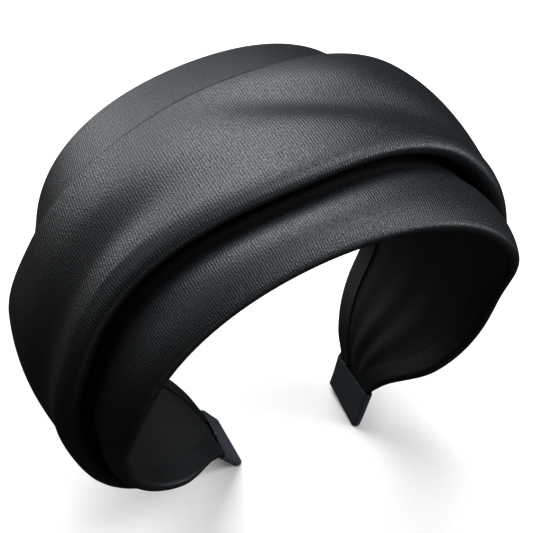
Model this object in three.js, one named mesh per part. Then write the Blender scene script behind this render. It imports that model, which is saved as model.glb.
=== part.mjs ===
// Wide headband: a satin cover with a box pleat, hemmed round both edges to the inside, a lining
// between the hems, and a ribbon wrapped round each tip. Millimetres, +Z up.
//
// The band stands on its two tips. X runs from the left tip to the right tip, Y from the front edge
// (negative) to the back edge (positive). Every piece is drawn in the band's own coordinates:
//   at      the place along the band, -1 at the left tip, 0 at the crown, 1 at the right tip
//   across  the place across the band, which is Y
//   height  how far the middle of the cloth stands out from the inside of the band
import * as THREE from "three";

// Driving dimensions.
const HALF_LENGTH = 192; // crown to tip, along the inside of the band
const FLARE = 0.045; // the front edge stands out this much more than the back, for each mm across
const CLOTH = 1.0; // thickness of every cloth wall
const CLEARANCE = 0.3; // gap between one layer and the next
const HEM = 12; // satin turned to the inside at each edge
const HEM_SHARE = 0.4; // and no more than this share of the band's width
const RIBBON_WIDTH = 18; // along the band, at each tip
const LINING_INSET = 2.5; // from the band's edge to the lining's edge
const LINING_END = 0.885; // where the lining stops, short of the ribbon
const COVER_END = 0.985; // where the satin stops, inside the ribbon

// Facets.
const COVER_STATIONS = 47; // between the ribbons
const TIP_STATIONS = 2; // inside a ribbon
const LINING_STATIONS = 41;
const RIBBON_STATIONS = 6;
const PINCH_STEPS = 2; // in a pressed fold
const EDGE_STEPS = 4; // round an edge
const ROLL_STEPS = 6; // in the soft fold
const BAND_STEPS = 5; // across the front or back band
const PLEAT_STEPS = 12; // across the pleat
const LINING_STEPS = 8; // across the lining
const RIBBON_STEPS = 4; // across each side of a ribbon

const LAYER = CLOTH + CLEARANCE; // from the middle of one layer to the middle of the next
const PINCH = LAYER / 2; // radius of a pressed fold, at the middle of the cloth
const HEM_HEIGHT = CLOTH / 2;
const TIP_HEIGHT = HEM_HEIGHT + 2 * PINCH; // the outer layer, where the band is pressed flat
const RIBBON_START = 1 - RIBBON_WIDTH / HALF_LENGTH;

// How the band bends from the crown to a tip. Both sides are alike: the legs turn out, then the tips in.
const BEND = [
  { at: 0.0, radius: 83 },
  { at: 0.25, radius: 46 },
  { at: 0.5, radius: 135 },
  { at: 0.7, radius: 37 },
  { at: 0.85, radius: -36 },
  { at: 1.0, radius: 64 },
];

// How far each place along the band is swept back: the left tip stands a little behind the right one.
const SWEEP = [
  { at: -1.0, back: 6.5 },
  { at: -0.87, back: 2 },
  { at: -0.75, back: 2 },
  { at: -0.5, back: 0 },
  { at: 1.0, back: 0 },
];

// The outline: how far the front and back edges lie from the middle, how round the edges are,
// how much the bands beside them swell, and how deep the gathers run towards a tip.
const OUTLINE = [
  { at: 0.0, front: 44.7, back: 45, edgeRadius: 1.7, frontSwell: 2.3, backSwell: 0.3, gather: 0 },
  { at: 0.3, front: 45.5, back: 45.5, edgeRadius: 1.9, frontSwell: 2.2, backSwell: 0.3, gather: 0 },
  { at: 0.55, front: 31.8, back: 40.9, edgeRadius: 1.9, frontSwell: 1.4, backSwell: 0.8, gather: 0 },
  { at: 0.75, front: 24.2, back: 31.8, edgeRadius: 1.7, frontSwell: 0.6, backSwell: 0.6, gather: 0.6 },
  { at: 0.87, front: 11.6, back: 17.8, edgeRadius: 1.5, frontSwell: 0, backSwell: 0, gather: 0.4 },
  { at: RIBBON_START, front: 9.3, back: 10.8, edgeRadius: PINCH, frontSwell: 0, backSwell: 0, gather: 0 },
  { at: 1.0, front: 9.3, back: 10.3, edgeRadius: PINCH, frontSwell: 0, backSwell: 0, gather: 0 },
];

// The two folds of the pleat, from the left tip to the right tip: how far each lies from the edge
// beside it, how much cloth is tucked under it, and the degrees it turns back by, 180 where closed.
const FOLDS = [
  { at: -1.0, frontFold: 5, backFold: 6, tuck: 0, turn: 12 },
  { at: -RIBBON_START, frontFold: 5, backFold: 6, tuck: 0, turn: 12 },
  { at: -0.87, frontFold: 6, backFold: 7, tuck: 0, turn: 30 },
  { at: -0.8, frontFold: 6, backFold: 12, tuck: 0, turn: 180 },
  { at: -0.6, frontFold: 6.2, backFold: 23, tuck: 6, turn: 180 },
  { at: -0.4, frontFold: 14.3, backFold: 28, tuck: 7, turn: 180 },
  { at: -0.2, frontFold: 19.3, backFold: 28.4, tuck: 8, turn: 180 },
  { at: 0.0, frontFold: 17, backFold: 26.3, tuck: 8, turn: 180 },
  { at: 0.2, frontFold: 20.7, backFold: 28, tuck: 8, turn: 180 },
  { at: 0.4, frontFold: 15.7, backFold: 25.5, tuck: 7, turn: 180 },
  { at: 0.6, frontFold: 6.5, backFold: 21, tuck: 6, turn: 180 },
  { at: 0.8, frontFold: 6, backFold: 12, tuck: 0, turn: 180 },
  { at: 0.87, frontFold: 6, backFold: 7, tuck: 0, turn: 30 },
  { at: RIBBON_START, frontFold: 5, backFold: 6, tuck: 0, turn: 12 },
  { at: 1.0, frontFold: 5, backFold: 6, tuck: 0, turn: 12 },
];

// How the cloth stands off the band: the heights at which the front and back bands slip under the
// pleat, half the height of its soft front fold, how much longer than high that fold is, and the
// pleat's swell.
const DRAPE = [
  { at: -1.0, frontHeight: TIP_HEIGHT, backHeight: TIP_HEIGHT, roll: 0.7, stretch: 1, crest: 0 },
  { at: -RIBBON_START, frontHeight: TIP_HEIGHT, backHeight: TIP_HEIGHT, roll: 0.7, stretch: 1, crest: 0 },
  { at: -0.87, frontHeight: 3.7, backHeight: 3.7, roll: 0.8, stretch: 1, crest: 0.8 },
  { at: -0.8, frontHeight: 4.3, backHeight: 5, roll: 1.2, stretch: 1, crest: 0.8 },
  { at: -0.6, frontHeight: 6.8, backHeight: 12.5, roll: 2.5, stretch: 1.2, crest: 1.5 },
  { at: -0.4, frontHeight: 8.9, backHeight: 17.4, roll: 3.8, stretch: 1.7, crest: 1.6 },
  { at: -0.3, frontHeight: 8.2, backHeight: 14, roll: 3.7, stretch: 2.2, crest: 1.4 },
  { at: -0.2, frontHeight: 8.2, backHeight: 12.6, roll: 3.5, stretch: 2.5, crest: 1.2 },
  { at: 0.0, frontHeight: 7.7, backHeight: 11.8, roll: 3.4, stretch: 2.6, crest: 1.2 },
  { at: 0.2, frontHeight: 7.8, backHeight: 14.6, roll: 3.5, stretch: 2.2, crest: 2.2 },
  { at: 0.4, frontHeight: 4.4, backHeight: 11.4, roll: 3.4, stretch: 1.4, crest: 1.6 },
  { at: 0.6, frontHeight: 6.2, backHeight: 8.3, roll: 2.4, stretch: 1.2, crest: 1 },
  { at: 0.8, frontHeight: 4.3, backHeight: 5, roll: 1.2, stretch: 1, crest: 0.8 },
  { at: 0.87, frontHeight: 3.7, backHeight: 3.7, roll: 0.8, stretch: 1, crest: 0.8 },
  { at: RIBBON_START, frontHeight: TIP_HEIGHT, backHeight: TIP_HEIGHT, roll: 0.7, stretch: 1, crest: 0 },
  { at: 1.0, frontHeight: TIP_HEIGHT, backHeight: TIP_HEIGHT, roll: 0.7, stretch: 1, crest: 0 },
];

// Long soft dents in the pleat: where each runs along the band, its place at both ends as a share of
// the pleat's width from the back fold, its depth, and how far it spreads to each side.
const DENTS = [
  { start: -0.06, end: 0.42, placeStart: 0.12, placeEnd: 1.35, depth: 3.8, spread: 8 },
  { start: 0.02, end: -0.62, placeStart: 0.74, placeEnd: 0.82, depth: 2.8, spread: 8 },
];
const DENT_FADE = 1.5; // how gently a dent runs out at its ends
const GATHERS = 3; // gathers across the pleat
const FLAT_TUCK = 7; // a back band that is tucked in this far rises straight, with no arch

const SATIN = { color: 0x14171b, roughness: 0.45, metalness: 0 };
const LINING_CLOTH = { color: 0x1b1f1f, roughness: 0.8, metalness: 0 };
const GROSGRAIN = { color: 0x202225, roughness: 0.85, metalness: 0 };

const { clamp, degToRad, lerp } = THREE.MathUtils;
const hump = (share) => 4 * share * (1 - share);
const arch = (share) => Math.sin((share * Math.PI) / 2);
const ease = (share) => share * share * (3 - 2 * share);

// A smooth value between the rows of a table, which never overshoots them.
function between(table, column, at) {
  const last = table.length - 1;
  let row = 0;
  while (row < last - 1 && at > table[row + 1].at) row++;
  const step = (i) => table[i + 1].at - table[i].at;
  const rise = (i) => (table[i + 1][column] - table[i][column]) / step(i);
  const slope = (i) => {
    if (i === 0 || i === last) return 0;
    const before = rise(i - 1);
    const after = rise(i);
    return before * after <= 0 ? 0 : (2 * before * after) / (before + after);
  };
  const share = clamp((at - table[row].at) / step(row), 0, 1);
  const level = lerp(table[row][column], table[row + 1][column], ease(share));
  const lean = slope(row) * (1 - share) - slope(row + 1) * share;
  return level + share * (1 - share) * lean * step(row);
}

// The line of the band in the X-Z plane, walked from the crown to the right tip.
const BEND_STEPS = 400;
function walkBend() {
  const bends = BEND.map(({ at, radius }) => ({ at, curvature: 1 / radius }));
  const length = HALF_LENGTH / BEND_STEPS;
  const line = [{ x: 0, z: 0, heading: 0 }];
  for (let i = 0; i < BEND_STEPS; i++) {
    const { x, z, heading } = line[i];
    const turned = heading + length * between(bends, "curvature", (i + 0.5) / BEND_STEPS);
    const mean = (heading + turned) / 2;
    line.push({ x: x + length * Math.cos(mean), z: z - length * Math.sin(mean), heading: turned });
  }
  return line;
}
const bendLine = walkBend();
const CROWN_HEIGHT = -bendLine[BEND_STEPS].z;

function bendAt(at) {
  const steps = Math.abs(at) * BEND_STEPS;
  const i = Math.min(Math.floor(steps), BEND_STEPS - 1);
  const mix = (key) => lerp(bendLine[i][key], bendLine[i + 1][key], steps - i);
  return { side: at < 0 ? -1 : 1, x: mix("x"), z: mix("z") + CROWN_HEIGHT, heading: mix("heading") };
}

// A point of the band, from its own coordinates to space.
function place(at, [across, height]) {
  const { side, x, z, heading } = bendAt(at);
  const out = height - FLARE * across * (1 - at * at);
  const y = across + between(SWEEP, "back", at);
  return new THREE.Vector3(side * (x + out * Math.sin(heading)), y, z + out * Math.cos(heading));
}

// The same, run on along the leg to the surface that the band stands on.
function placeOnGround(at, point) {
  const { side, heading } = bendAt(at);
  const spot = place(at, point);
  const run = spot.z / Math.sin(heading);
  return new THREE.Vector3(spot.x + side * run * Math.cos(heading), spot.y, 0);
}

// Section paths are lists of [across, height, facing] at the middle of the cloth. Facing is the angle
// that the cloth's right side looks to. Only arcs state it: elsewhere it follows from the path. An arc
// may be drawn out across the band by a stretch.
function arc([across, height], radius, from, to, steps, stretch = 1) {
  const outward = to > from ? 0 : Math.PI;
  return Array.from({ length: steps + 1 }, (_, i) => {
    const angle = degToRad(lerp(from, to, i / steps));
    const facing = Math.atan2(Math.sin(angle), Math.cos(angle) / stretch) + outward;
    return [across + stretch * radius * Math.cos(angle), height + radius * Math.sin(angle), facing];
  });
}

// The points inside a span of cloth, whose height is a function of the share of the span.
function span(from, to, steps, heightAt) {
  return Array.from({ length: steps - 1 }, (_, i) => {
    const share = (i + 1) / steps;
    return [lerp(from[0], to[0], share), heightAt(share)];
  });
}

// How deep the long dents are at a share of the pleat's width.
function dentDepth(at, share, width) {
  const depths = DENTS.map(({ start, end, placeStart, placeEnd, depth, spread }) => {
    const run = clamp((at - start) / (end - start), 0, 1);
    const aside = ((share - lerp(placeStart, placeEnd, run)) * width) / spread;
    return depth * Math.sin(Math.PI * run) ** DENT_FADE * Math.exp(-(aside ** 2));
  });
  return depths.reduce((sum, depth) => sum + depth, 0) * Math.sqrt(hump(share));
}

// The satin from back to front: hem, back edge, back band, pleat, front band, front edge, hem.
function coverPath(at) {
  const outline = (column) => between(OUTLINE, column, Math.abs(at));
  const folds = (column) => between(FOLDS, column, at);
  const drape = (column) => between(DRAPE, column, at);
  const radius = outline("edgeRadius");
  const back = outline("back");
  const front = -outline("front");
  const hem = Math.min(HEM, HEM_SHARE * (back - front));
  const edgeHeight = HEM_HEIGHT + 2 * radius;
  const backEdge = [back - radius, edgeHeight];
  const frontEdge = [front + radius, edgeHeight];

  const turn = folds("turn");
  const tuck = folds("tuck");
  const roll = drape("roll");
  const stretch = drape("stretch");
  const forward = Math.sin(degToRad(turn));
  const lift = 1 - Math.cos(degToRad(turn));

  // The pressed fold at the back of the pleat turns back on itself, then forward again.
  const backFold = back - folds("backFold") - PINCH;
  const backIn = [backFold + PINCH * forward - tuck, drape("backHeight")];
  const backOut = [backFold - PINCH * forward, backIn[1] + 2 * PINCH * lift];

  // The soft fold at the front of the pleat rolls under, then turns forward again.
  const frontFold = front + folds("frontFold") + stretch * roll;
  const frontOut = [frontFold - PINCH * forward + tuck, drape("frontHeight")];
  const frontIn = [frontFold + stretch * roll * forward, frontOut[1] + (roll + PINCH) * lift];

  // A band rises from its edge to its fold, and swells only where it shows.
  const swelling = (share, hidden, width) => hump(Math.min(1, share / (1 - hidden / width)));
  const backBand = (share) => {
    const rise = lerp(arch(share), share, Math.min(1, tuck / FLAT_TUCK));
    const swell = outline("backSwell") * swelling(share, tuck, backEdge[0] - backIn[0]);
    return lerp(edgeHeight, backIn[1], rise) + swell;
  };
  const frontBand = (share) => {
    const hidden = tuck + stretch * roll;
    const swell = outline("frontSwell") * swelling(1 - share, hidden, frontOut[0] - frontEdge[0]);
    return lerp(edgeHeight, frontOut[1], arch(1 - share)) + swell;
  };
  const pleatWidth = backOut[0] - frontIn[0];
  const pleatBand = (share) => {
    const base = lerp(backOut[1], frontIn[1], ease(share)) + drape("crest") * hump(share);
    const gather = Math.sin(2 * Math.PI * GATHERS * share) * hump(share);
    return base + outline("gather") * gather - dentDepth(at, share, pleatWidth);
  };
  return [
    [back - hem, HEM_HEIGHT],
    ...arc([back - radius, HEM_HEIGHT + radius], radius, -90, 90, EDGE_STEPS),
    ...span(backEdge, backIn, BAND_STEPS, backBand),
    ...arc([backIn[0], backIn[1] + PINCH], PINCH, 270, 270 - turn, PINCH_STEPS),
    ...arc([backOut[0], backOut[1] - PINCH], PINCH, 90 - turn, 90, PINCH_STEPS),
    ...span(backOut, frontIn, PLEAT_STEPS, pleatBand),
    ...arc([frontIn[0], frontIn[1] - roll], roll, 90, 90 + turn, ROLL_STEPS, stretch),
    ...arc([frontOut[0], frontOut[1] + PINCH], PINCH, 270 + turn, 270, PINCH_STEPS),
    ...span(frontOut, frontEdge, BAND_STEPS, frontBand),
    ...arc([front + radius, HEM_HEIGHT + radius], radius, 90, 270, EDGE_STEPS),
    [front + hem, HEM_HEIGHT],
  ];
}

// The lining lies on the hems, one layer further out.
function liningPath(at) {
  const back = between(OUTLINE, "back", Math.abs(at)) - LINING_INSET;
  const front = -between(OUTLINE, "front", Math.abs(at)) + LINING_INSET;
  const height = HEM_HEIGHT + LAYER;
  const middle = span([back], [front], LINING_STEPS, () => height);
  return [[back, height], ...middle, [front, height]];
}

// A ribbon goes right round the tip, one layer outside the satin.
function ribbonPath(at) {
  const radius = PINCH + LAYER;
  const centre = HEM_HEIGHT + PINCH;
  const back = between(OUTLINE, "back", Math.abs(at)) - PINCH;
  const front = -between(OUTLINE, "front", Math.abs(at)) + PINCH;
  const flat = (from, to, height) => span([from], [to], RIBBON_STEPS, () => height);
  return [
    ...arc([back, centre], radius, -90, 90, EDGE_STEPS),
    ...flat(back, front, centre + radius),
    ...arc([front, centre], radius, 90, 270, EDGE_STEPS),
    ...flat(front, back, centre - radius),
  ];
}

// The two faces of a cloth wall along a path: its right side, then its wrong side.
function wall(path, closed) {
  const last = path.length - 1;
  return path.map(([across, height, facing], i) => {
    const before = path[closed ? (i + last) % path.length : Math.max(i - 1, 0)];
    const after = path[closed ? (i + 1) % path.length : Math.min(i + 1, last)];
    const run = Math.atan2(after[1] - before[1], after[0] - before[0]);
    const angle = facing ?? run - Math.PI / 2;
    const aside = (CLOTH / 2) * Math.cos(angle);
    const up = (CLOTH / 2) * Math.sin(angle);
    return [
      [across + aside, height + up],
      [across - aside, height - up],
    ];
  });
}

// A closed cloth body lofted through walls, each already placed in space.
function clothGeometry(sections, closed) {
  const count = sections[0].length;
  const lastStation = sections.length - 1;
  const positions = sections.flat(2).flatMap((point) => point.toArray());
  const corner = (station, i, face) => (station * count + (i % count)) * 2 + face;
  const indices = [];
  const quad = (a, b, c, d) => indices.push(a, b, c, a, c, d);
  const segments = closed ? count : count - 1;
  for (let s = 0; s < lastStation; s++) {
    for (let i = 0; i < segments; i++) {
      quad(corner(s, i, 0), corner(s, i + 1, 0), corner(s + 1, i + 1, 0), corner(s + 1, i, 0));
      quad(corner(s, i, 1), corner(s + 1, i, 1), corner(s + 1, i + 1, 1), corner(s, i + 1, 1));
    }
    if (!closed) {
      const end = count - 1;
      quad(corner(s, 0, 0), corner(s + 1, 0, 0), corner(s + 1, 0, 1), corner(s, 0, 1));
      quad(corner(s + 1, end, 0), corner(s, end, 0), corner(s, end, 1), corner(s + 1, end, 1));
    }
  }
  for (let i = 0; i < segments; i++) {
    const e = lastStation;
    quad(corner(0, i + 1, 0), corner(0, i, 0), corner(0, i, 1), corner(0, i + 1, 1));
    quad(corner(e, i, 0), corner(e, i + 1, 0), corner(e, i + 1, 1), corner(e, i, 1));
  }
  const geometry = new THREE.BufferGeometry();
  geometry.setAttribute("position", new THREE.Float32BufferAttribute(positions, 3));
  geometry.setIndex(indices);
  geometry.computeVertexNormals();
  return geometry;
}

function clothMesh(name, finish, sections, closed = false) {
  const mesh = new THREE.Mesh(clothGeometry(sections, closed), new THREE.MeshStandardMaterial(finish));
  mesh.name = name;
  return mesh;
}

// Evenly spaced places along the band.
function stations(from, to, count) {
  return Array.from({ length: count }, (_, i) => lerp(from, to, i / (count - 1)));
}

// The sections of a piece along the band.
function sectionsOf(path, places, closed = false) {
  const placed = (at) => (faces) => faces.map((point) => place(at, point));
  return places.map((at) => wall(path(at), closed).map(placed(at)));
}

function ribbon(name, side) {
  const places = stations(side * RIBBON_START, side, RIBBON_STATIONS);
  const sections = sectionsOf(ribbonPath, places, true);
  const foot = wall(ribbonPath(side), true);
  sections[RIBBON_STATIONS - 1] = foot.map((faces) => faces.map((point) => placeOnGround(side, point)));
  return clothMesh(name, GROSGRAIN, side > 0 ? sections : sections.reverse(), true);
}

const headband = new THREE.Group();
const coverPlaces = [
  ...stations(-COVER_END, -RIBBON_START, TIP_STATIONS + 1).slice(0, -1),
  ...stations(-RIBBON_START, RIBBON_START, COVER_STATIONS),
  ...stations(RIBBON_START, COVER_END, TIP_STATIONS + 1).slice(1),
];
const liningPlaces = stations(-LINING_END, LINING_END, LINING_STATIONS);
headband.add(
  clothMesh("satin_cover", SATIN, sectionsOf(coverPath, coverPlaces)),
  clothMesh("lining", LINING_CLOTH, sectionsOf(liningPath, liningPlaces)),
  ribbon("ribbon_left", -1),
  ribbon("ribbon_right", 1),
);

// The origin lies on the ground, under the middle of the whole band.
const middle = new THREE.Box3().setFromObject(headband).getCenter(new THREE.Vector3());
headband.position.set(-middle.x, -middle.y, 0);

export default headband;
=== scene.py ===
import math

import bpy
import numpy as np
from mathutils import Matrix, Vector


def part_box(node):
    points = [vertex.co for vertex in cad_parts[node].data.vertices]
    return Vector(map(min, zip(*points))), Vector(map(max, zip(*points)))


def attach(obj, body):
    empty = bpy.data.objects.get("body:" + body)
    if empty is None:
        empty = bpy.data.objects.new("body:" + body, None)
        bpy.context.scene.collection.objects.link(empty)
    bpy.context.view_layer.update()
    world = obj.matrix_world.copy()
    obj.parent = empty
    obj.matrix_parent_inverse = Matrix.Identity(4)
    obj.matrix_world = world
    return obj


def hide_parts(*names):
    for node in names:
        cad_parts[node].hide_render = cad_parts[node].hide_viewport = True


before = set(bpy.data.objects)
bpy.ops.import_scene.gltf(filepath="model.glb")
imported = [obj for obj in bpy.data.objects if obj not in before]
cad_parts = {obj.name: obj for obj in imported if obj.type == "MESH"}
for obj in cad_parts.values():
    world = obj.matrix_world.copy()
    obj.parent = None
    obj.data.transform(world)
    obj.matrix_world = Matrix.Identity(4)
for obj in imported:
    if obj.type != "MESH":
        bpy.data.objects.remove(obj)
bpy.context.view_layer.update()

# The band's own coordinates, in millimetres:
#   at      the place along the band, -1 at the left tip, 0 at the crown, 1 at the right tip
#   across  the place across the band, negative to the front
#   height  how far the middle of the cloth stands out from the inside of the band
MM = 0.001
HALF_LENGTH = 192.0
# How much further out the arch stands for each millimetre to the front. This fades to nothing at the tips.
FLARE = 0.045

# The satin: its real thickness, the space that a folded layer takes up, the radius of the pressed back
# fold, where it ends inside the ribbons, and the tuck at which the back band lies straight.
SATIN_THICKNESS = 0.45
LAYER = 1.3
PINCH = LAYER / 2
CREASE = 1.0
COVER_END = 0.985
FLAT_TUCK = 7.0

# How many small gathers the pleat has towards the ribbons.
GATHERS = 3

# The hem that the satin is turned under by, at most this wide and this share of the band's width.
HEM = 9.0
HEM_SHARE = 0.3
HEM_HEIGHT = 0.5
TIP_HEIGHT = HEM_HEIGHT + 2 * PINCH

# The lining slips behind the hems, close on their backs. It starts a little in from the band's edges, ends
# inside the ribbons, and is pressed flat just above them.
LINING_THICKNESS = 0.5
LINING_BEHIND = 0.7
LINING_INSET = 2.5
LINING_END = 0.94
LINING_PRESSED = 0.85
# It billows a little along the band, at a slant, and gathers towards the ribbons.
LINING_BILLOW = 0.3
LINING_BILLOWS = 3
LINING_SLANT = 4
LINING_GATHERED = 0.55
LINING_GATHER = 0.5
LINING_GATHERS = 4

# Each ribbon is wrapped once round its tip. It has ribs along the leg, a frayed upper edge, and a lower
# edge that is cut a little longer at the front.
RIBBON_THICKNESS = 0.5
RIBBON_WIDTH = 18.0
RIBBON_START = 1 - RIBBON_WIDTH / HALF_LENGTH
RIBBON_RADIUS = 1.4
RIBBON_FOOT = 0.3
RIBBON_SLANT = 2.4
RIBS = 50
RIB_DEPTH = 0.08
FRAY = 0.45
FRAY_SEED = 7

# How many points each cloth has along the band, and how many steps each run of its section takes.
COVER_STATIONS = 240
COVER_STEPS = dict(hem=8, edge=10, back_band=26, crease=5, pleat=60, roll=14, front_band=22)
LINING_STATIONS = 160
LINING_POINTS = 41
RIBBON_STATIONS = 24
RIBBON_STEPS = dict(side=40, outer_face=120, inner_face=121)

# Where cloth turns by more than this many degrees in one step, it is a cut edge and stays sharp.
CUT_EDGE = 60


class Table:
    """Rows of sizes along the band. A column is read at any place, smoothly and with no overshoot."""

    def __init__(self, names, rows):
        self.names = names.split()
        self.rows = np.array(rows, float)

    def __call__(self, name, at):
        places = self.rows[:, 0]
        values = self.rows[:, self.names.index(name)]
        step = np.diff(places)
        rise = np.diff(values) / step
        before, after = rise[:-1], rise[1:]
        total = np.where(before * after > 0, before + after, 1.0)
        slope = np.zeros(len(places))
        slope[1:-1] = np.where(before * after > 0, 2 * before * after / total, 0.0)
        row = np.clip(np.searchsorted(places, at) - 1, 0, len(step) - 1)
        share = np.clip((at - places[row]) / step[row], 0, 1)
        level = values[row] + (values[row + 1] - values[row]) * ease(share)
        lean = slope[row] * (1 - share) - slope[row + 1] * share
        return level + share * (1 - share) * lean * step[row]


def ease(share):
    return share * share * (3 - 2 * share)


def hump(share):
    return 4 * share * (1 - share)


def arch(share):
    return np.sin(share * math.pi / 2)


def mix(a, b, share):
    return a + (b - a) * share


# The radius of the band's line. The legs turn out, then the tips in.
BEND = Table("at radius", [
    (0.0, 83),
    (0.25, 46),
    (0.5, 135),
    (0.7, 37),
    (0.85, -36),
    (1.0, 64),
])

# How far the left leg is swept back.
SWEEP = Table("at back", [
    (-1.0, 6.5),
    (-0.87, 2),
    (-0.75, 2),
    (-0.5, 0),
    (1.0, 0),
])

# The same on both sides: how far the front and back edges are from the middle, the radius of the rounded
# edge, how far the front and back bands swell, and how deep the gathers in the pleat are.
OUTLINE = Table("at front back edge front_swell back_swell gather", [
    (0.0, 44.7, 45.0, 1.7, 2.3, 0.3, 0.0),
    (0.3, 45.5, 45.5, 1.9, 2.2, 0.3, 0.0),
    (0.55, 31.8, 40.9, 1.9, 1.4, 0.8, 0.0),
    (0.75, 24.2, 31.8, 1.7, 0.6, 0.6, 0.6),
    (0.87, 11.6, 17.8, 1.5, 0.0, 0.0, 0.4),
    (RIBBON_START, 9.3, 10.8, PINCH, 0.0, 0.0, 0.0),
    (1.0, 9.3, 10.3, PINCH, 0.0, 0.0, 0.0),
])

# How far each fold of the pleat is from its edge of the band, how far the cloth is tucked in under it, and
# the angle that the cloth turns by at the fold, which is 180 degrees where it lies closed.
FOLDS = Table("at front_fold back_fold tuck turn", [
    (-1.0, 5, 6, 0, 12),
    (-RIBBON_START, 5, 6, 0, 12),
    (-0.87, 6, 7, 0, 30),
    (-0.8, 6, 12, 0, 180),
    (-0.6, 6.2, 23, 6, 180),
    (-0.4, 14.3, 28, 7, 180),
    (-0.2, 19.3, 28.4, 8, 180),
    (0.0, 17, 26.3, 8, 180),
    (0.2, 20.7, 28, 8, 180),
    (0.4, 15.7, 25.5, 7, 180),
    (0.6, 6.5, 21, 6, 180),
    (0.8, 6, 12, 0, 180),
    (0.87, 6, 7, 0, 30),
    (RIBBON_START, 5, 6, 0, 12),
    (1.0, 5, 6, 0, 12),
])

# How high the front and back folds start, half the height of the front roll, how many times longer than
# high it is, and how far the pleat's middle rises.
DRAPE = Table("at front_height back_height roll stretch crest", [
    (-1.0, TIP_HEIGHT, TIP_HEIGHT, 0.7, 1, 0),
    (-RIBBON_START, TIP_HEIGHT, TIP_HEIGHT, 0.7, 1, 0),
    (-0.87, 3.7, 3.7, 0.8, 1, 0.8),
    (-0.8, 4.3, 5, 1.2, 1, 0.8),
    (-0.6, 6.8, 12.5, 2.5, 1.2, 1.5),
    (-0.4, 8.9, 17.4, 3.8, 1.7, 1.6),
    (-0.3, 8.2, 14, 3.7, 2.2, 1.4),
    (-0.2, 8.2, 12.6, 3.5, 2.5, 1.2),
    (0.0, 7.7, 11.8, 3.4, 2.6, 1.2),
    (0.2, 7.8, 14.6, 3.5, 2.2, 2.2),
    (0.4, 4.4, 11.4, 3.4, 1.4, 1.6),
    (0.6, 6.2, 8.3, 2.4, 1.2, 1),
    (0.8, 4.3, 5, 1.2, 1, 0.8),
    (0.87, 3.7, 3.7, 0.8, 1, 0.8),
    (RIBBON_START, TIP_HEIGHT, TIP_HEIGHT, 0.7, 1, 0),
    (1.0, TIP_HEIGHT, TIP_HEIGHT, 0.7, 1, 0),
])

# Long soft dents in the pleat: where each runs along the band, its place at both ends as a share of the
# pleat's width from the back fold, and its depth and spread in millimetres.
PLEAT_DENTS = [
    dict(start=-0.06, end=0.42, place_start=0.12, place_end=1.35, depth=3.8, spread=8.0),
    dict(start=0.02, end=-0.62, place_start=0.74, place_end=0.82, depth=2.8, spread=8.0),
]
# The same in the front band, from the fold to the edge.
FRONT_DENTS = [
    dict(start=-0.36, end=-0.66, place_start=0.85, place_end=0.1, depth=1.0, spread=3.5),
]
DENT_FADE = 1.5

BEND_STEPS = 800
CLOTH_MAP = "cloth"


def walk_bend():
    """The line of the band in the X-Z plane, from the crown to the right tip: x, z and heading."""
    rows = BEND.rows
    curvature = Table("at curvature", np.column_stack([rows[:, 0], 1 / rows[:, 1]]))
    length = HALF_LENGTH / BEND_STEPS
    turns = length * curvature("curvature", (np.arange(BEND_STEPS) + 0.5) / BEND_STEPS)
    heading = np.concatenate([[0.0], np.cumsum(turns)])
    mean = (heading[1:] + heading[:-1]) / 2
    x = np.concatenate([[0.0], np.cumsum(length * np.cos(mean))])
    z = np.concatenate([[0.0], -np.cumsum(length * np.sin(mean))])
    return x, z - z[-1], heading


BEND_X, BEND_Z, BEND_HEADING = walk_bend()
CROWN_HEIGHT = BEND_Z[0]
left_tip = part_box("ribbon_left")[0]
right_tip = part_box("ribbon_right")[1]
MIDDLE_X = (left_tip.x + right_tip.x) / 2 / MM


def bend_at(at):
    steps = np.abs(at) * BEND_STEPS
    grid = np.arange(BEND_STEPS + 1)
    return (np.interp(steps, grid, line) for line in (BEND_X, BEND_Z, BEND_HEADING))


def place(at, across, height):
    """Points of the band in space, in metres."""
    x, z, heading = bend_at(at)
    side = np.where(at < 0, -1, 1)
    out = height - FLARE * across * (1 - at * at)
    y = across + SWEEP("back", at)
    points = [side * (x + out * np.sin(heading)) + MIDDLE_X, y, z + out * np.cos(heading)]
    return np.stack(np.broadcast_arrays(*points), -1) * MM


def arc(across, height, radius, start, end, steps, stretch=1.0):
    """An arc in each section, drawn out across the band by a stretch. Its angles may differ by section."""
    share = np.linspace(0, 1, steps + 1)
    angle = np.radians(mix(np.asarray(start, float), np.asarray(end, float), share))
    return across + stretch * radius * np.cos(angle), height + radius * np.sin(angle)


def span(start, end, steps, height_at):
    """The points inside a span of cloth, whose height is a function of the share of the span."""
    share = np.arange(1, steps) / steps
    return mix(start, end, share), height_at(share)


def flat(height):
    """The height of a span that is flat."""
    return lambda share: height + 0 * share


def join(parts, sections):
    """One path from its parts, for each section."""
    across = [np.broadcast_to(part[0], (sections, part[0].shape[-1])) for part in parts]
    height = [np.broadcast_to(part[1], (sections, part[1].shape[-1])) for part in parts]
    return np.concatenate(across, 1), np.concatenate(height, 1)


def dent_depth(dents, at, share, width):
    """How deep the long dents are at a place on one span of the cloth."""
    depth = np.zeros(np.broadcast(at, share).shape)
    for dent in dents:
        run = np.clip((at - dent["start"]) / (dent["end"] - dent["start"]), 0, 1)
        middle = mix(dent["place_start"], dent["place_end"], run)
        aside = (share - middle) * width / dent["spread"]
        fade = np.abs(np.sin(math.pi * run)) ** DENT_FADE
        depth = depth + dent["depth"] * fade * np.exp(-aside * aside) * np.sqrt(hump(share))
    return depth


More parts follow.
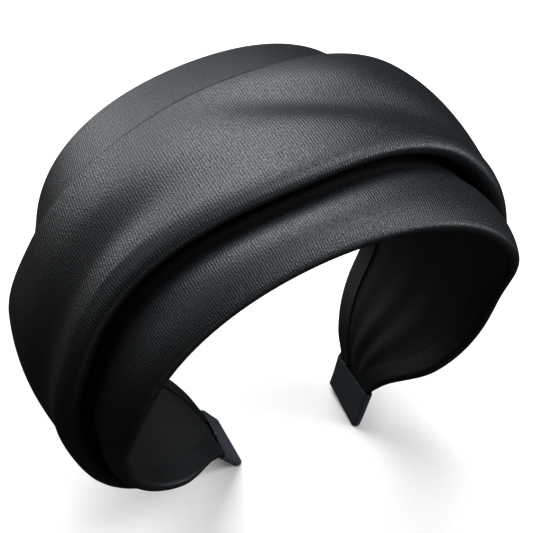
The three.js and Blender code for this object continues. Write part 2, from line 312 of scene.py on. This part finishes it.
def cover_path(at):
    """The satin from back to front: hem, edge, back band, folds and pleat, front band, edge and hem."""
    at = at[:, None]
    size = np.abs(at)
    edge = OUTLINE("edge", size)
    back = OUTLINE("back", size)
    front = -OUTLINE("front", size)
    front_swell = OUTLINE("front_swell", size)
    back_swell = OUTLINE("back_swell", size)
    gather = OUTLINE("gather", size)
    hem = np.minimum(HEM, HEM_SHARE * (back - front))
    edge_height = HEM_HEIGHT + 2 * edge
    tuck = FOLDS("tuck", at)
    turn = FOLDS("turn", at)
    roll = DRAPE("roll", at)
    stretch = DRAPE("stretch", at)
    crest = DRAPE("crest", at)
    forward = np.sin(np.radians(turn))
    lift = 1 - np.cos(np.radians(turn))

    back_fold = back - FOLDS("back_fold", at) - CREASE
    back_in = back_fold + CREASE * forward - tuck
    back_out = back_fold - CREASE * forward
    back_out_height = DRAPE("back_height", at) + 2 * PINCH * lift
    back_in_height = back_out_height - 2 * CREASE * lift

    front_fold = front + FOLDS("front_fold", at) + stretch * roll
    front_out = front_fold - PINCH * forward + tuck
    front_out_height = DRAPE("front_height", at)
    front_in = front_fold + stretch * roll * forward
    front_in_height = front_out_height + (roll + PINCH) * lift

    # A hump falls at its end by 4 times its height over its width. The pleat leans forward by that where it
    # meets its front roll, and the roll starts at that lean.
    roll_start = np.arctan(stretch * 4 * crest / (back_out - front_in))
    pleat_end = front_in - stretch * roll * np.sin(roll_start)
    pleat_end_height = front_in_height - roll * (1 - np.cos(roll_start))

    # The front band leans forward in the same way where it meets the edge.
    lean = np.arctan(4 * front_swell / (FOLDS("front_fold", at) - edge))
    front_end = front + edge * (1 - np.sin(lean))
    front_end_height = HEM_HEIGHT + edge * (1 + np.cos(lean))

    def swelling(share, hidden, width):
        return hump(np.minimum(1, share / (1 - hidden / width)))

    def back_band(share):
        rise = mix(arch(share), share, np.minimum(1, tuck / FLAT_TUCK))
        swell = back_swell * swelling(share, tuck, back - edge - back_in)
        return mix(edge_height, back_in_height, rise) + swell

    def pleat(share):
        base = mix(back_out_height, pleat_end_height, ease(share)) + crest * hump(share)
        ripple = gather * np.sin(2 * math.pi * GATHERS * share) * hump(share)
        return base + ripple - dent_depth(PLEAT_DENTS, at, share, back_out - pleat_end)

    def front_band(share):
        width = front_out - front_end
        swell = front_swell * swelling(1 - share, tuck + stretch * roll, width)
        level = mix(front_end_height, front_out_height, arch(1 - share)) + swell
        return level - dent_depth(FRONT_DENTS, at, share, width)

    roll_from = 90 + np.degrees(roll_start)
    edge_from = 90 + np.degrees(lean)
    steps = COVER_STEPS
    return join([
        span(back - hem, back - edge, steps["hem"], flat(HEM_HEIGHT)),
        arc(back - edge, HEM_HEIGHT + edge, edge, -90, 90, steps["edge"]),
        span(back - edge, back_in, steps["back_band"], back_band),
        arc(back_in, back_in_height + CREASE, CREASE, 270, 270 - turn, steps["crease"]),
        arc(back_out, back_out_height - CREASE, CREASE, 90 - turn, 90, steps["crease"]),
        span(back_out, pleat_end, steps["pleat"], pleat),
        arc(front_in, front_in_height - roll, roll, roll_from, 90 + turn, steps["roll"], stretch),
        arc(front_out, front_out_height + PINCH, PINCH, 270 + turn, 270, steps["crease"]),
        span(front_out, front_end, steps["front_band"], front_band),
        arc(front + edge, HEM_HEIGHT + edge, edge, edge_from, 270, steps["edge"]),
        span(front + edge, front + hem, steps["hem"], flat(HEM_HEIGHT)),
    ], len(at))


def lining_path(at):
    """The lining from back to front, behind the hems, with a slight billow between them."""
    size = np.abs(at)[:, None]
    back = OUTLINE("back", size) - LINING_INSET
    front = -OUTLINE("front", size) + LINING_INSET
    share = np.linspace(0, 1, LINING_POINTS)
    pressed = ease(np.clip((size - LINING_PRESSED) / (RIBBON_START - LINING_PRESSED), 0, 1))
    gathered = ease(np.clip((size - LINING_GATHERED) / (LINING_PRESSED - LINING_GATHERED), 0, 1))
    free = (1 - pressed) * hump(share) ** 2
    billow = LINING_BILLOW * np.sin(2 * math.pi * LINING_BILLOWS * at[:, None] + LINING_SLANT * share)
    gather = LINING_GATHER * gathered * np.sin(2 * math.pi * LINING_GATHERS * share)
    return mix(back, front, share), HEM_HEIGHT + LINING_BEHIND + free * (billow + gather)


def ribbon_path(at):
    """The ribbon round a tip, closed: back side, outer face, front side, inner face, with its ribs."""
    size = np.abs(at)[:, None]
    radius = RIBBON_RADIUS
    centre = HEM_HEIGHT + PINCH
    back = OUTLINE("back", size) - PINCH
    front = -OUTLINE("front", size) + PINCH
    across, height = join([
        arc(back, centre, radius, -90, 90, RIBBON_STEPS["side"]),
        span(back, front, RIBBON_STEPS["outer_face"], flat(centre + radius)),
        arc(front, centre, radius, 90, 270, RIBBON_STEPS["side"]),
        span(front, back, RIBBON_STEPS["inner_face"], flat(centre - radius)),
    ], len(at))
    across = np.concatenate([across, across[:, :1]], 1)
    height = np.concatenate([height, height[:, :1]], 1)
    run_across = np.gradient(across, axis=1)
    run_height = np.gradient(height, axis=1)
    run = np.hypot(run_across, run_height)
    ribs = np.linspace(0, 1, across.shape[1]) * RIBS
    depth = RIB_DEPTH * np.cos(2 * math.pi * ribs)
    return across + depth * run_height / run, height - depth * run_across / run


def ribbon_along(at, across, height):
    """Where the ribbon's points lie along the leg, with a frayed upper edge and a slanted lower edge."""
    share = (np.abs(at) - RIBBON_START) / (1 - RIBBON_START)
    share = share[:, None]
    columns = across.shape[1]
    threads = np.random.default_rng(FRAY_SEED).uniform(-FRAY, FRAY, RIBS)
    fray = np.interp(np.linspace(0, RIBS, columns), np.arange(RIBS + 1), np.append(threads, threads[0]))
    heading = BEND_HEADING[-1]
    front_to_back = (across - across.min()) / (across.max() - across.min())
    rise = RIBBON_FOOT + RIBBON_SLANT * front_to_back - height * math.cos(heading)
    start = RIBBON_START * HALF_LENGTH + fray
    end = HALF_LENGTH - rise / math.sin(heading)
    return np.sign(at)[:, None] * mix(start, end, share) / HALF_LENGTH


def flat_cut(name, at, across, height):
    """A flat cut of cloth, laid onto the band. Its UV map is the flat cut, in metres."""
    stations, columns = across.shape
    at = np.broadcast_to(at, across.shape)
    points = place(at, across, height)
    steps = np.hypot(np.diff(across, axis=1), np.diff(height, axis=1))
    width = np.concatenate([np.zeros((stations, 1)), np.cumsum(steps, 1)], 1)
    pattern = np.stack([at * HALF_LENGTH, width - width[:, -1:] / 2], -1) * MM
    bpy.ops.object.select_all(action="DESELECT")
    bpy.ops.mesh.primitive_grid_add(
        x_subdivisions=columns - 1, y_subdivisions=stations - 1, size=1, calc_uvs=True
    )
    piece = bpy.context.object
    piece.name = name
    mesh = piece.data
    grid = np.zeros(len(mesh.vertices) * 3)
    mesh.vertices.foreach_get("co", grid)
    grid = grid.reshape(-1, 3)
    column = np.rint((grid[:, 0] + 0.5) * (columns - 1)).astype(int)
    row = np.rint((grid[:, 1] + 0.5) * (stations - 1)).astype(int)
    corner = np.zeros(len(mesh.loops), int)
    mesh.loops.foreach_get("vertex_index", corner)
    mesh.uv_layers.active.name = CLOTH_MAP
    mesh.uv_layers[CLOTH_MAP].data.foreach_set("uv", pattern[row, column][corner].ravel())
    mesh.vertices.foreach_set("co", points[row, column].ravel())
    mesh.update()
    cut = (width.max() * MM, (at.max() - at.min()) * HALF_LENGTH * MM)
    area = float(np.mean(width[:, -1])) * MM * cut[1]
    return piece, cut, area


def apply(piece, kind, **settings):
    bpy.ops.object.select_all(action="DESELECT")
    piece.select_set(True)
    bpy.context.view_layer.objects.active = piece
    modifier = piece.modifiers.new(kind.title(), kind)
    for key, value in settings.items():
        setattr(modifier, key, value)
    bpy.ops.object.modifier_apply(modifier=modifier.name)


def thicken(piece, thickness):
    apply(piece, "SOLIDIFY", thickness=thickness * MM, offset=0, use_even_offset=True)
    bpy.ops.object.shade_smooth_by_angle(angle=math.radians(CUT_EDGE))


def linear(hex_colour):
    channels = [int(hex_colour[i:i + 2], 16) / 255 for i in (1, 3, 5)]
    return [c / 12.92 if c <= 0.04045 else ((c + 0.055) / 1.055) ** 2.4 for c in channels] + [1]


def add_node(tree, kind, settings=None, values=None, links=None):
    """Adds a node, sets its properties and input values, and links its inputs."""
    node = tree.nodes.new(kind)
    for key, value in (settings or {}).items():
        setattr(node, key, value)
    for key, value in (values or {}).items():
        node.inputs[key].default_value = value
    for key, source in (links or {}).items():
        tree.links.new(source, node.inputs[key])
    return node


def new_material(name, values):
    """A material of one shader, with the values that are the same all over it."""
    material = bpy.data.materials.new(name)
    material.use_nodes = True
    tree = material.node_tree
    shader = tree.nodes["Principled BSDF"]
    for key, value in values.items():
        shader.inputs[key].default_value = value
    return material, tree, shader


def wave_scale(pitch):
    """The scale at which the bands of a Wave texture on a map in metres are this many millimetres apart."""
    return 2 * math.pi / 20 / (pitch * MM)


def satin():
    # Heavy woven polyester satin: long floats hide the dark ground, so it is near black with broad, cool
    # highlights, and fine ribs of yarn run across the band. Real yarns are about 0.2 mm apart, too fine to
    # show here, so the ribs are drawn 0.65 mm apart, as they come out in the picture.
    rib_pitch = 0.65
    yarn = 0.4
    float_length = 0.7
    depth = 0.15
    cloud = 14.0
    material, tree, shader = new_material("woven_satin_black", {
        "Specular IOR Level": 0.5,
        "Specular Tint": linear("#eef7ff"),
    })
    cloth = add_node(tree, "ShaderNodeUVMap", {"uv_map": CLOTH_MAP})
    ribs = add_node(
        tree, "ShaderNodeTexWave", {"wave_type": "BANDS", "bands_direction": "X"},
        {"Scale": wave_scale(rib_pitch), "Distortion": 2.0, "Detail": 2.0, "Detail Scale": 1.5},
        {"Vector": cloth.outputs["UV"]},
    )
    stretched = add_node(
        tree, "ShaderNodeMapping", {},
        {"Scale": (1 / (yarn * MM), 1 / (float_length * MM), 1)}, {"Vector": cloth.outputs["UV"]},
    )
    floats = add_node(
        tree, "ShaderNodeTexNoise", {}, {"Scale": 1.0, "Detail": 1.0},
        {"Vector": stretched.outputs["Vector"]},
    )
    clouds = add_node(
        tree, "ShaderNodeTexNoise", {}, {"Scale": 1 / (cloud * MM), "Detail": 2.0},
        {"Vector": cloth.outputs["UV"]},
    )
    relief = add_node(
        tree, "ShaderNodeMix", {"data_type": "FLOAT"}, {"Factor": 0.75},
        {2: ribs.outputs["Fac"], 3: floats.outputs["Fac"]},
    )
    bump = add_node(
        tree, "ShaderNodeBump", {}, {"Strength": 1.0, "Distance": depth * MM}, {"Height": relief.outputs[0]}
    )
    colour = add_node(
        tree, "ShaderNodeMix", {"data_type": "RGBA"}, {6: linear("#010203"), 7: linear("#0a0d0f")},
        {"Factor": floats.outputs["Fac"]},
    )
    wear = add_node(
        tree, "ShaderNodeMapRange", {}, {"To Min": 0.45, "To Max": 0.51}, {"Value": clouds.outputs["Fac"]}
    )
    polish = add_node(
        tree, "ShaderNodeMapRange", {"clamp": False},
        {"From Min": 0.35, "From Max": 0.65, "To Min": 0.12, "To Max": -0.12}, {"Value": relief.outputs[0]},
    )
    roughness = add_node(
        tree, "ShaderNodeMath", {"operation": "ADD"}, {},
        {0: wear.outputs["Result"], 1: polish.outputs["Result"]},
    )
    tree.links.new(colour.outputs[2], shader.inputs["Base Color"])
    tree.links.new(roughness.outputs[0], shader.inputs["Roughness"])
    tree.links.new(bump.outputs["Normal"], shader.inputs["Normal"])
    return material


def plain_weave(name, dark, light, pitch, roughness, relief):
    """Two sets of threads, over and under each other, in a matte dark yarn."""
    material, tree, shader = new_material(name, {"Roughness": roughness, "Specular IOR Level": 0.2})
    cloth = add_node(tree, "ShaderNodeUVMap", {"uv_map": CLOTH_MAP})
    warp, weft = [
        add_node(
            tree, "ShaderNodeTexWave", {"wave_type": "BANDS", "bands_direction": direction},
            {"Scale": wave_scale(pitch), "Distortion": 1.0, "Detail": 1.0}, {"Vector": cloth.outputs["UV"]},
        )
        for direction in "XY"
    ]
    threads = add_node(
        tree, "ShaderNodeMath", {"operation": "MULTIPLY"}, {},
        {0: warp.outputs["Fac"], 1: weft.outputs["Fac"]},
    )
    bump = add_node(
        tree, "ShaderNodeBump", {}, {"Strength": 1.0, "Distance": relief * MM},
        {"Height": threads.outputs[0]},
    )
    colour = add_node(
        tree, "ShaderNodeMix", {"data_type": "RGBA"}, {6: linear(dark), 7: linear(light)},
        {"Factor": threads.outputs[0]},
    )
    tree.links.new(colour.outputs[2], shader.inputs["Base Color"])
    tree.links.new(bump.outputs["Normal"], shader.inputs["Normal"])
    return material


def lining_weave():
    # Thin plain-woven polyester lining: matte, near black, a touch cool. Its threads are drawn 0.5 mm apart,
    # twice the real spacing, so that they show.
    name = "lining_weave_black"
    return plain_weave(name, "#090c0d", "#121718", pitch=0.5, roughness=0.7, relief=0.03)


def grosgrain():
    # Grosgrain ribbon: matte, charcoal, thick ribs, which are modelled, bound by fine cross threads.
    name = "grosgrain_charcoal"
    return plain_weave(name, "#24282c", "#3a3f45", pitch=0.4, roughness=0.75, relief=0.04)


def backdrop_paper():
    # Uncoated backdrop paper: matte and pale, with faint fibre in it.
    fibre_length = 3.0
    material, tree, shader = new_material("backdrop_paper", {"Roughness": 1.0, "Specular IOR Level": 0.0})
    spot = add_node(tree, "ShaderNodeTexCoord")
    fibre = add_node(
        tree, "ShaderNodeTexNoise", {}, {"Scale": 1 / (fibre_length * MM), "Detail": 3.0},
        {"Vector": spot.outputs["Object"]},
    )
    colour = add_node(
        tree, "ShaderNodeMix", {"data_type": "RGBA"}, {6: linear("#c6c6c6"), 7: linear("#c8c8c8")},
        {"Factor": fibre.outputs["Fac"]},
    )
    tree.links.new(colour.outputs[2], shader.inputs["Base Color"])
    return material


def finish_piece(piece, material, node):
    piece.data.materials.clear()
    piece.data.materials.append(material)
    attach(piece, "root")
    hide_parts(node)


def make_cover():
    at = np.linspace(-COVER_END, COVER_END, COVER_STATIONS)
    cover, cut, area = flat_cut("satin_cloth", at[:, None], *cover_path(at))
    thicken(cover, SATIN_THICKNESS)
    finish_piece(cover, satin(), "satin_cover")


def make_lining():
    at = np.linspace(-LINING_END, LINING_END, LINING_STATIONS)
    lining, cut, area = flat_cut("lining_cloth", at[:, None], *lining_path(at))
    thicken(lining, LINING_THICKNESS)
    finish_piece(lining, lining_weave(), "lining")


def make_ribbons():
    cloth = grosgrain()
    for side, node in ((-1, "ribbon_left"), (1, "ribbon_right")):
        at = np.linspace(RIBBON_START, 1, RIBBON_STATIONS) * side
        across, height = ribbon_path(at)
        ribbon, cut, area = flat_cut(node + "_cloth", ribbon_along(at, across, height), across, height)
        apply(ribbon, "WELD", merge_threshold=0.01 * MM)
        thicken(ribbon, RIBBON_THICKNESS)
        finish_piece(ribbon, cloth, node)


make_cover()
make_lining()
make_ribbons()

# Camera: where the photograph was taken from.
AZIMUTH, ELEVATION, ROLL = (math.radians(angle) for angle in (-19.653, 50.784, -8.057))
DISTANCE = 324.6
PIXELS_PER_MM = 3.2388
IMAGE = 533
AIM_PIXEL = (267.14, 272.85)
SENSOR = 36
AIM_BACK = 0.67
AIM_BELOW_CROWN = 50.15
aim = Vector((MIDDLE_X, AIM_BACK, CROWN_HEIGHT - AIM_BELOW_CROWN)) * MM


def towards(azimuth, elevation):
    """The direction of a place round the object: azimuth 0 is the front, 90 degrees the right."""
    level = math.cos(elevation)
    return Vector((math.sin(azimuth) * level, -math.cos(azimuth) * level, math.sin(elevation)))


def make_camera():
    outward = towards(AZIMUTH, ELEVATION)
    level = Vector((math.cos(AZIMUTH), math.sin(AZIMUTH), 0))
    upright = outward.cross(level)
    right = level * math.cos(ROLL) + upright * math.sin(ROLL)
    up = upright * math.cos(ROLL) - level * math.sin(ROLL)
    data = bpy.data.cameras.new("camera")
    data.sensor_width = SENSOR
    data.lens = PIXELS_PER_MM * DISTANCE / IMAGE * SENSOR
    data.shift_x = (IMAGE / 2 - AIM_PIXEL[0]) / IMAGE
    data.shift_y = (AIM_PIXEL[1] - IMAGE / 2) / IMAGE
    data.clip_start = 0.01
    camera = bpy.data.objects.new("camera", data)
    turned = Matrix((right, up, outward)).transposed().to_4x4()
    camera.matrix_world = Matrix.Translation(aim + outward * DISTANCE * MM) @ turned
    bpy.context.scene.collection.objects.link(camera)
    bpy.context.scene.camera = camera


# Soft studio lights, far enough away to light the whole floor evenly: azimuth and elevation in degrees, how
# wide each one looks from the object in degrees, and its strength in watts for each square metre.
LIGHTS = [
    dict(name="back_softbox", azimuth=170, elevation=49, spread=48, strength=4.9),
    dict(name="back_left_low", azimuth=198, elevation=11, spread=26, strength=1.2),
    dict(name="right_back", azimuth=130, elevation=62, spread=24, strength=1.2),
    dict(name="right_top", azimuth=20, elevation=66, spread=22, strength=0.9),
    dict(name="right_fill", azimuth=66, elevation=49, spread=22, strength=2.7),
    dict(name="right_low", azimuth=60, elevation=5, spread=30, strength=2.9),
    dict(name="front_low", azimuth=354, elevation=5, spread=22, strength=0.5),
    dict(name="left_fill", azimuth=262, elevation=44, spread=30, strength=0.6),
]


def make_lights():
    for row in LIGHTS:
        data = bpy.data.lights.new(row["name"], "SUN")
        data.energy = row["strength"]
        data.angle = math.radians(row["spread"])
        light = bpy.data.objects.new(row["name"], data)
        direction = towards(math.radians(row["azimuth"]), math.radians(row["elevation"]))
        light.location = direction
        light.rotation_euler = direction.to_track_quat("Z", "Y").to_euler()
        bpy.context.scene.collection.objects.link(light)


# The stage: the floor's size in metres, the brightness of the white room to the camera and to the cloth, and
# a tone curve that is a little steeper than the plain one, for black cloth.
FLOOR = 12
BACKDROP_LIGHT = 1.1
ROOM_LIGHT = 0.02
TONE_GAMMA = 0.85


def make_stage():
    bpy.ops.object.select_all(action="DESELECT")
    bpy.ops.mesh.primitive_plane_add(size=FLOOR)
    floor = bpy.context.object
    floor.name = "floor"
    floor.data.materials.append(backdrop_paper())
    floor.visible_glossy = False
    world = bpy.data.worlds.new("studio")
    world.use_nodes = True
    background = world.node_tree.nodes["Background"]
    background.inputs["Color"].default_value = linear("#ffffff")
    path = add_node(world.node_tree, "ShaderNodeLightPath")
    strength = add_node(
        world.node_tree, "ShaderNodeMapRange", {}, {"To Min": ROOM_LIGHT, "To Max": BACKDROP_LIGHT},
        {"Value": path.outputs["Is Camera Ray"]},
    )
    world.node_tree.links.new(strength.outputs["Result"], background.inputs["Strength"])
    bpy.context.scene.world = world
    bpy.context.scene.view_settings.view_transform = "Standard"
    bpy.context.scene.view_settings.gamma = TONE_GAMMA


make_camera()
make_lights()
make_stage()
